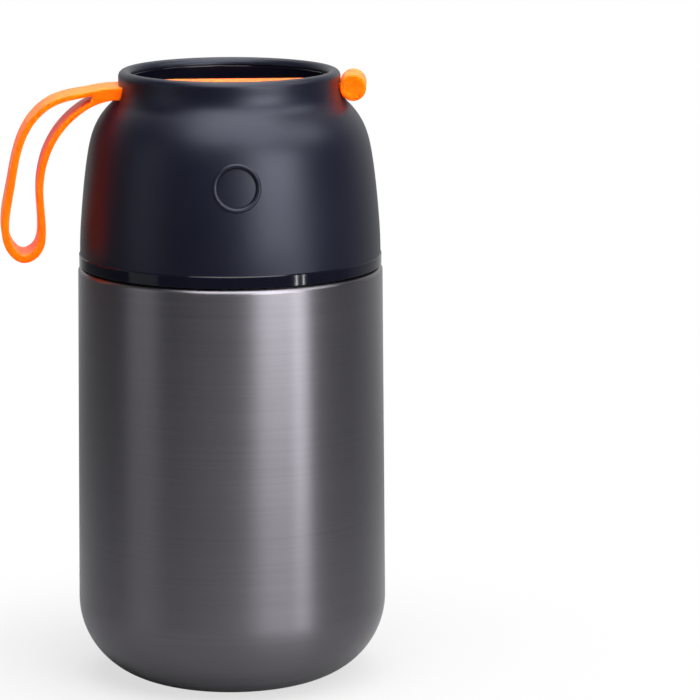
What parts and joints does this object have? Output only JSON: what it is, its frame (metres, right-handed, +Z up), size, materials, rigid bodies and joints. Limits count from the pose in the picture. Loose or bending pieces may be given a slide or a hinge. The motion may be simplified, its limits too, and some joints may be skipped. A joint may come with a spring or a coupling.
{
  "type": "insulated food jar",
  "caption": "Vacuum insulated steel food jar with a screw-on bowl lid, a screwed stopper with a pressure release button and a silicone carry strap.",
  "frame": {"origin": "middle of the flat base that the jar stands on, on the jar's axis", "axes": "+Z up along the jar's axis, -Y towards the dimple on the lid's front, -X towards the carry loop"},
  "size_m": [0.1234, 0.1, 0.1981],
  "materials": {
    "brushed_shell": "gunmetal, brushed round the body",
    "plain_steel": "plain stainless steel, satin",
    "foil": "bright foil",
    "getter": "sintered grey",
    "black_plastic": "gloss black polypropylene",
    "matte_lid": "soft-touch dark slate",
    "foam": "rigid foam",
    "clear_silicone": "translucent silicone",
    "black_silicone": "black silicone",
    "orange_silicone": "orange silicone",
    "button_plastic": "grey plastic"
  },
  "bodies": {
    "flask": {"outer_shell": "brushed_shell", "inner_vessel": "plain_steel", "outer_bottom": "plain_steel", "vacuum_plug": "plain_steel", "base_cap": "plain_steel", "heat_shield": "foil", "getter_holder": "plain_steel", "getter": "getter", "neck_collar": "black_plastic", "shoulder_gasket": "black_silicone"},
    "lid_seal": {"lid_gasket": "clear_silicone"},
    "lid": {"lid_shell": "matte_lid", "lid_liner": "black_plastic", "lid_insert": "black_plastic", "strap_web": "orange_silicone"},
    "strap": {"strap_loop": "orange_silicone"},
    "stopper_seal": {"stopper_gasket": "clear_silicone"},
    "stopper": {"stopper_cap": "black_plastic", "stopper_base": "black_plastic", "stopper_insulation": "foam", "button_spring": "plain_steel"},
    "button": {"release_button": "button_plastic", "valve_stem": "button_plastic", "valve_seal": "clear_silicone", "valve_retainer": "plain_steel"}
  },
  "joints": [
    {"name": "lid_lift", "type": "slide", "parent": "flask", "child": "lid_seal", "axis": [0, 0, 1], "range_m": [0, 0.12]},
    {"name": "lid_turn", "type": "hinge", "parent": "lid_seal", "child": "lid", "pos_m": [0, 0, 0.1557], "axis": [0, 0, 1], "range_deg": [0, 360]},
    {"name": "strap_swing", "type": "hinge", "parent": "lid", "child": "strap", "pos_m": [-0.03775, 0, 0.1914], "axis": [0, 1, 0], "range_deg": [0, 90]},
    {"name": "stopper_lift", "type": "slide", "parent": "flask", "child": "stopper_seal", "axis": [0, 0, 1], "range_m": [0, 0.054]},
    {"name": "stopper_turn", "type": "hinge", "parent": "stopper_seal", "child": "stopper", "pos_m": [0, 0, 0.1585], "axis": [0, 0, 1], "range_deg": [0, 360]},
    {"name": "button_press", "type": "slide", "parent": "stopper", "child": "button", "axis": [0, 0, -1], "range_m": [0, 0.002], "stiffness_N_per_m": 400, "springref_m": -0.002, "deforming": ["button_spring"]}
  ],
  "couplings": [
    {"joint": "stopper_lift", "follows": "lid_lift", "ratio": 0.45}
  ]
}
